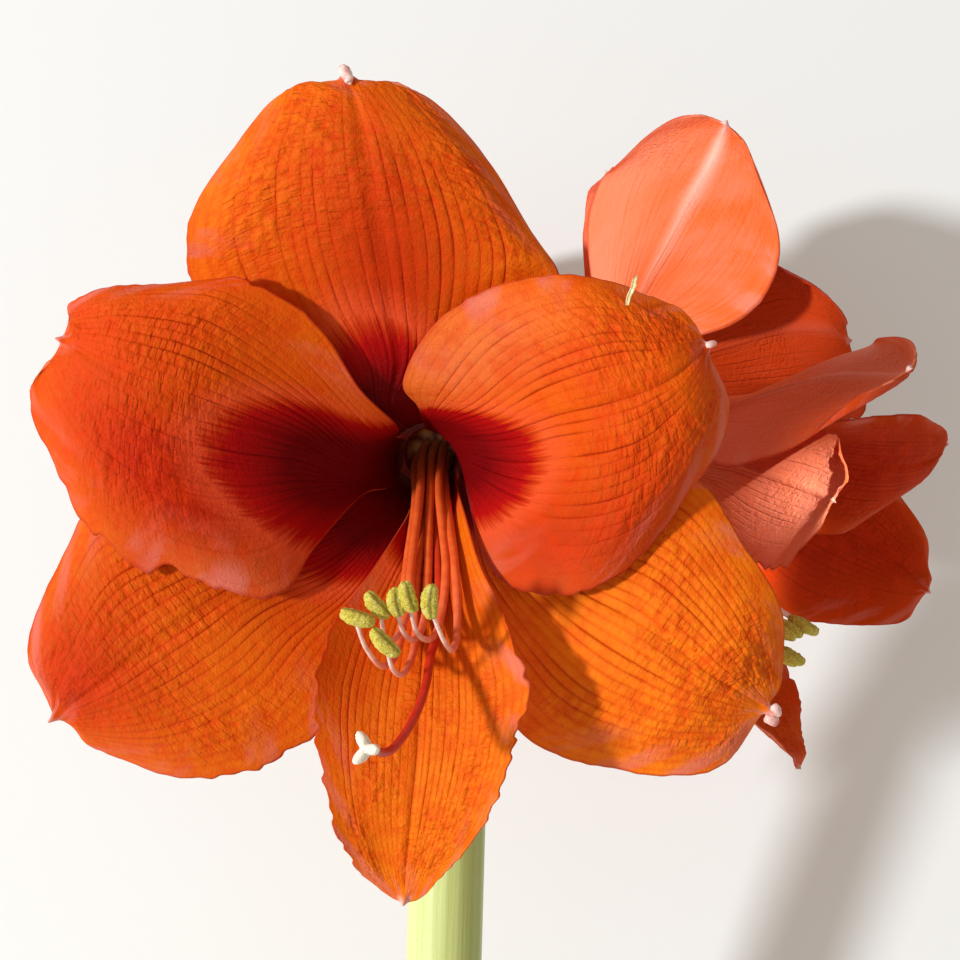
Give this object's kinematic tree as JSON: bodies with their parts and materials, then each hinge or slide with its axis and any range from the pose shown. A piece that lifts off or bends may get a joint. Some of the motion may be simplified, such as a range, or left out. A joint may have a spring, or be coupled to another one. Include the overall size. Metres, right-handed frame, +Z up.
{
  "type": "amaryllis stem",
  "caption": "Cut amaryllis stem lying down: a thick leafless stalk with a head of large open orange-red flowers.",
  "frame": {"origin": "centre of the bounding box's bottom, on the surface that the stem lies on", "axes": "+Z up; +Y along the stalk from its cut end to the flowers, as seen from above; +X to the right of someone who looks down at the front flower's face"},
  "size_m": [0.2595, 0.5215, 0.2929],
  "materials": {
    "scape": "smooth, waxy, pale green",
    "spathe": "dry, papery, brown",
    "tube": "smooth, olive to brown-green",
    "tepal": "satin petal, orange-red, dark red throat",
    "filament": "satin, red",
    "anther": "grainy, yellow-green pollen",
    "stigma": "matt, white"
  },
  "bodies": {
    "root": {"scape": "scape", "spathe_valve_left": "spathe", "spathe_valve_right": "spathe", "front_tube": "tube", "front_tepal_upper_right": "tepal", "front_tepal_upper_left": "tepal", "front_tepal_bottom": "tepal", "front_tepal_top": "tepal", "front_tepal_lower_left": "tepal", "front_tepal_lower_right": "tepal", "front_filament_1": "filament", "front_filament_2": "filament", "front_filament_3": "filament", "front_filament_4": "filament", "front_filament_5": "filament", "front_filament_6": "filament", "front_anther_1": "anther", "front_anther_2": "anther", "front_anther_3": "anther", "front_anther_4": "anther", "front_anther_5": "anther", "front_anther_6": "anther", "front_style": "filament", "front_stigma": "stigma", "right_tube": "tube", "right_tepal_upper_right": "tepal", "right_tepal_upper_left": "tepal", "right_tepal_bottom": "tepal", "right_tepal_top": "tepal", "right_tepal_lower_left": "tepal", "right_tepal_lower_right": "tepal", "right_stamen_1": "filament", "right_stamen_2": "filament", "right_stamen_3": "filament", "right_stamen_4": "filament", "right_stamen_5": "filament", "right_stamen_6": "filament", "right_style": "filament", "right_stigma": "stigma", "back_tube": "tube", "back_tepal_upper_right": "tepal", "back_tepal_upper_left": "tepal", "back_tepal_bottom": "tepal", "back_tepal_top": "tepal", "back_tepal_lower_left": "tepal", "back_tepal_lower_right": "tepal", "back_stamen_1": "filament", "back_stamen_2": "filament", "back_stamen_3": "filament", "back_stamen_4": "filament", "back_stamen_5": "filament", "back_stamen_6": "filament", "back_style": "filament", "back_stigma": "stigma"}
  },
  "joints": []
}
